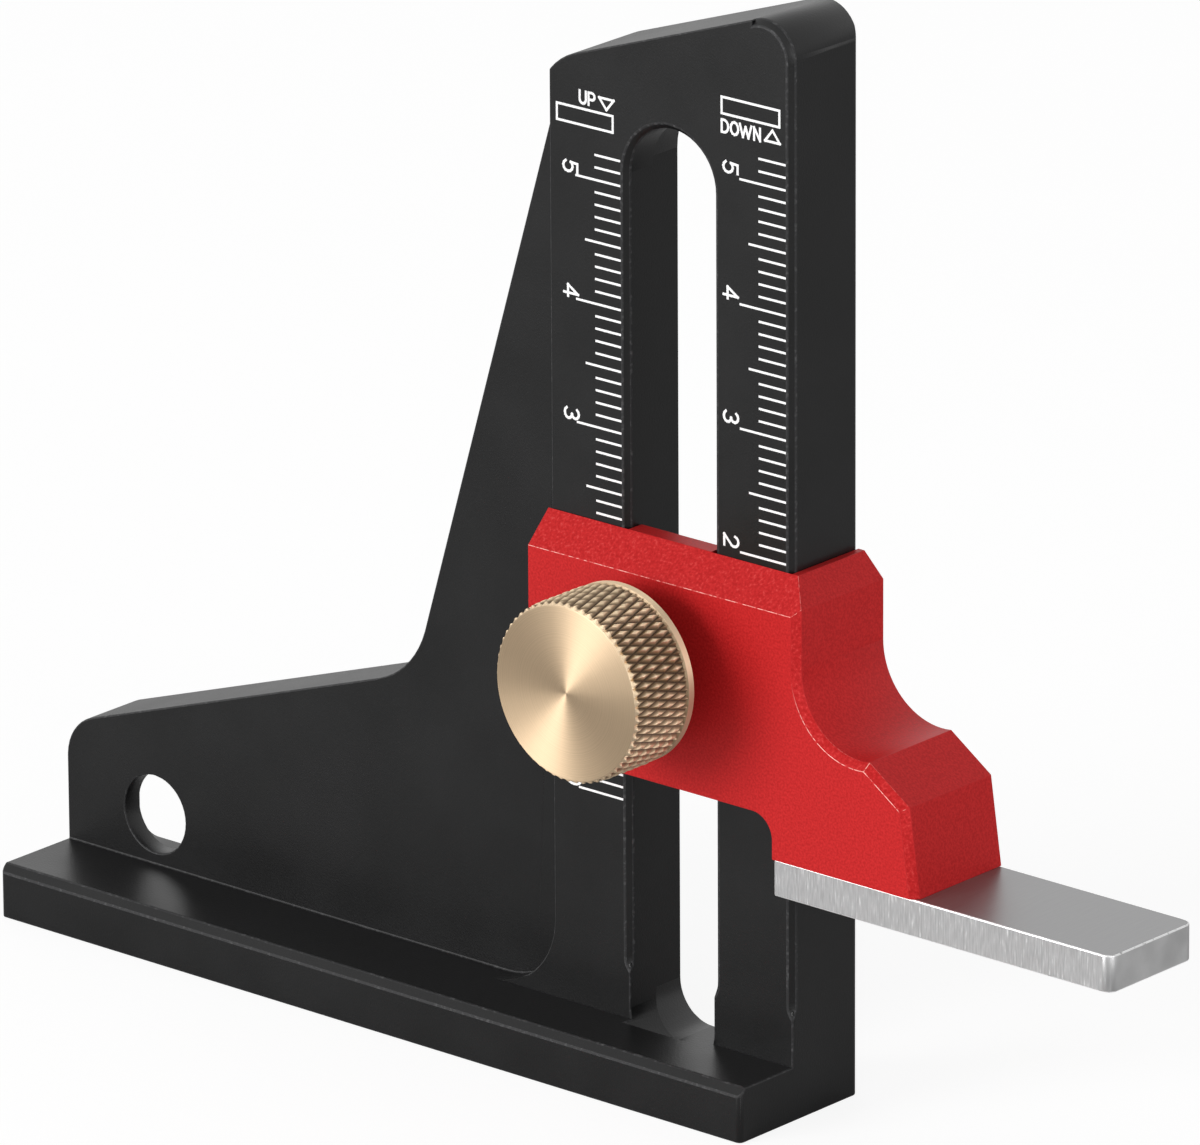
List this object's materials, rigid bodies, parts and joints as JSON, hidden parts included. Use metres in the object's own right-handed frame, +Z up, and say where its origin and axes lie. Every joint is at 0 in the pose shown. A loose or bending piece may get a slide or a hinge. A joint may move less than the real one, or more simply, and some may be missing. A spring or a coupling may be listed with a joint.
{
  "type": "table saw height gauge",
  "caption": "Upright gauge with a slotted column on a foot, and a clamped slider that carries a steel blade past two millimetre scales.",
  "frame": {"origin": "on the foot's underside, in the plane of the scale face and on the slot's centreline", "axes": "+X along the foot towards the blade's tip, +Y from the scale face to the back, +Z up the column"},
  "size_m": [0.1117, 0.0202, 0.0886],
  "materials": {
    "black_anodised": "fine bead-blasted black anodising",
    "white_marks": "white laser marking",
    "red_anodised": "fine bead-blasted red anodising",
    "ground_steel": "ground, lines across the width",
    "black_screw": "black oxide",
    "brass": "turned face and diamond knurl",
    "plated_steel": "bright zinc"
  },
  "bodies": {
    "frame": {"frame": "black_anodised", "up_scale": "white_marks", "down_scale": "white_marks", "up_numbers": "white_marks", "down_numbers": "white_marks", "up_legend": "white_marks", "down_legend": "white_marks"},
    "slider": {"slider": "red_anodised", "blade": "ground_steel", "blade_screws": "black_screw"},
    "knob": {"knob": "brass", "stud": "plated_steel"},
    "clamp_nut": {"clamp_nut": "plated_steel"}
  },
  "joints": [
    {"name": "slider_height", "type": "slide", "parent": "frame", "child": "slider", "axis": [0, 0, 1], "range_m": [-0.01935, 0.0294]},
    {"name": "knob_turn", "type": "hinge", "parent": "slider", "child": "knob", "pos_m": [0, -0.0025, 0.0358], "axis": [0, -1, 0], "range_deg": [0, 360]},
    {"name": "clamp_nut_travel", "type": "slide", "parent": "slider", "child": "clamp_nut", "axis": [0, 1, 0], "range_m": [0, 0.0007]}
  ],
  "couplings": [
    {"joint": "clamp_nut_travel", "follows": "knob_turn", "m_per_rad": 0.00011141}
  ]
}
